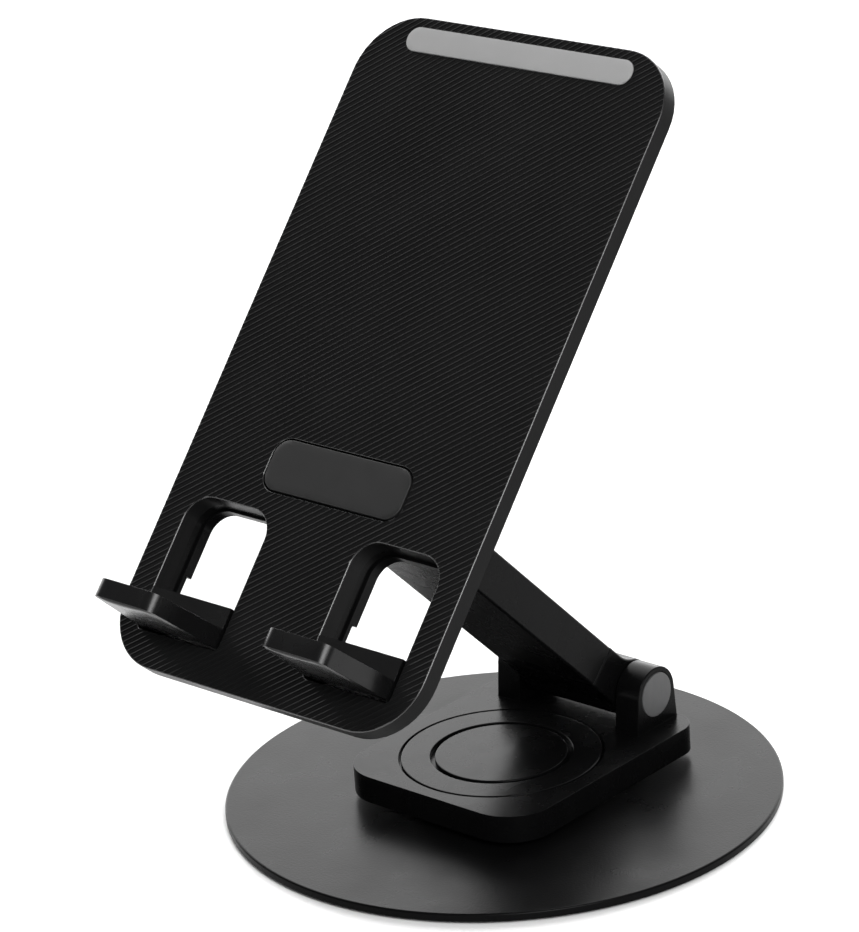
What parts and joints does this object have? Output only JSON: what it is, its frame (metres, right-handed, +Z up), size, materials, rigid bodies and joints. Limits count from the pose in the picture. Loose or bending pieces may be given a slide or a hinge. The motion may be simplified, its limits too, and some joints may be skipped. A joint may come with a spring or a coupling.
{
  "type": "phone stand",
  "caption": "Folding desk phone stand: ribbed back plate with two fold-out hooks, on a hinged arm over a swivelling block and a round metal base.",
  "frame": {"origin": "centre of the underside of the round base, on the swivel axis, at the height of the surface that the stand rests on", "axes": "+X is the stand's right side, -Y is the front that the plate faces, +Z is up"},
  "size_m": [0.1, 0.1205, 0.1362],
  "materials": {
    "black_powder_coat": "fine-grained matte powder coat",
    "foot_rubber": "matte soft pad",
    "black_plastic": "satin moulded plastic, finely ribbed on the plate's front",
    "black_nylon": "smooth matte washer",
    "zinc_steel": "plain turned steel",
    "black_screw": "blackened steel",
    "grey_cap": "satin grey metal cap",
    "grey_silicone": "light grey matte silicone",
    "dark_silicone": "dark matte silicone"
  },
  "bodies": {
    "base": {"base_disc": "black_powder_coat", "foot_pad": "foot_rubber", "swivel_stud": "zinc_steel", "bearing_washer": "black_nylon", "swivel_nut": "zinc_steel"},
    "turntable": {"swivel_block": "black_plastic", "wave_washer": "zinc_steel", "cover_ring": "black_plastic", "swivel_cap": "black_plastic", "lower_pin": "zinc_steel", "lower_washers": "black_nylon", "lower_cap_left": "grey_cap", "lower_cap_right": "grey_cap"},
    "arm": {"arm_bar": "black_plastic", "lower_knuckle": "black_plastic", "upper_knuckle": "black_plastic"},
    "plate": {"front_panel": "black_plastic", "back_cover": "black_plastic", "top_strip": "grey_silicone", "lower_pad": "dark_silicone", "hinge_bracket": "black_plastic", "bracket_screws": "black_screw", "upper_pin": "zinc_steel", "upper_washers": "black_nylon", "upper_cap_left": "grey_cap", "upper_cap_right": "grey_cap", "hook_pin_left": "zinc_steel", "hook_pin_right": "zinc_steel"},
    "left_hook": {"hook_left": "black_plastic"},
    "right_hook": {"hook_right": "black_plastic"}
  },
  "joints": [
    {"name": "swivel", "type": "hinge", "parent": "base", "child": "turntable", "pos_m": [0, 0, 0.004], "axis": [0, 0, 1], "continuous": true},
    {"name": "arm_fold", "type": "hinge", "parent": "turntable", "child": "arm", "pos_m": [0, 0.0242, 0.0145], "axis": [1, 0, 0], "range_deg": [-45, 44.5]},
    {"name": "plate_tilt", "type": "hinge", "parent": "arm", "child": "plate", "pos_m": [0, -0.02467, 0.0632], "axis": [-1, 0, 0], "range_deg": [-45, 93]},
    {"name": "left_hook_fold", "type": "hinge", "parent": "plate", "child": "left_hook", "pos_m": [-0.0192, -0.05321, 0.04852], "axis": [-1, 0, 0], "range_deg": [0, 90]},
    {"name": "right_hook_fold", "type": "hinge", "parent": "plate", "child": "right_hook", "pos_m": [0.0192, -0.05321, 0.04852], "axis": [-1, 0, 0], "range_deg": [0, 90]}
  ]
}
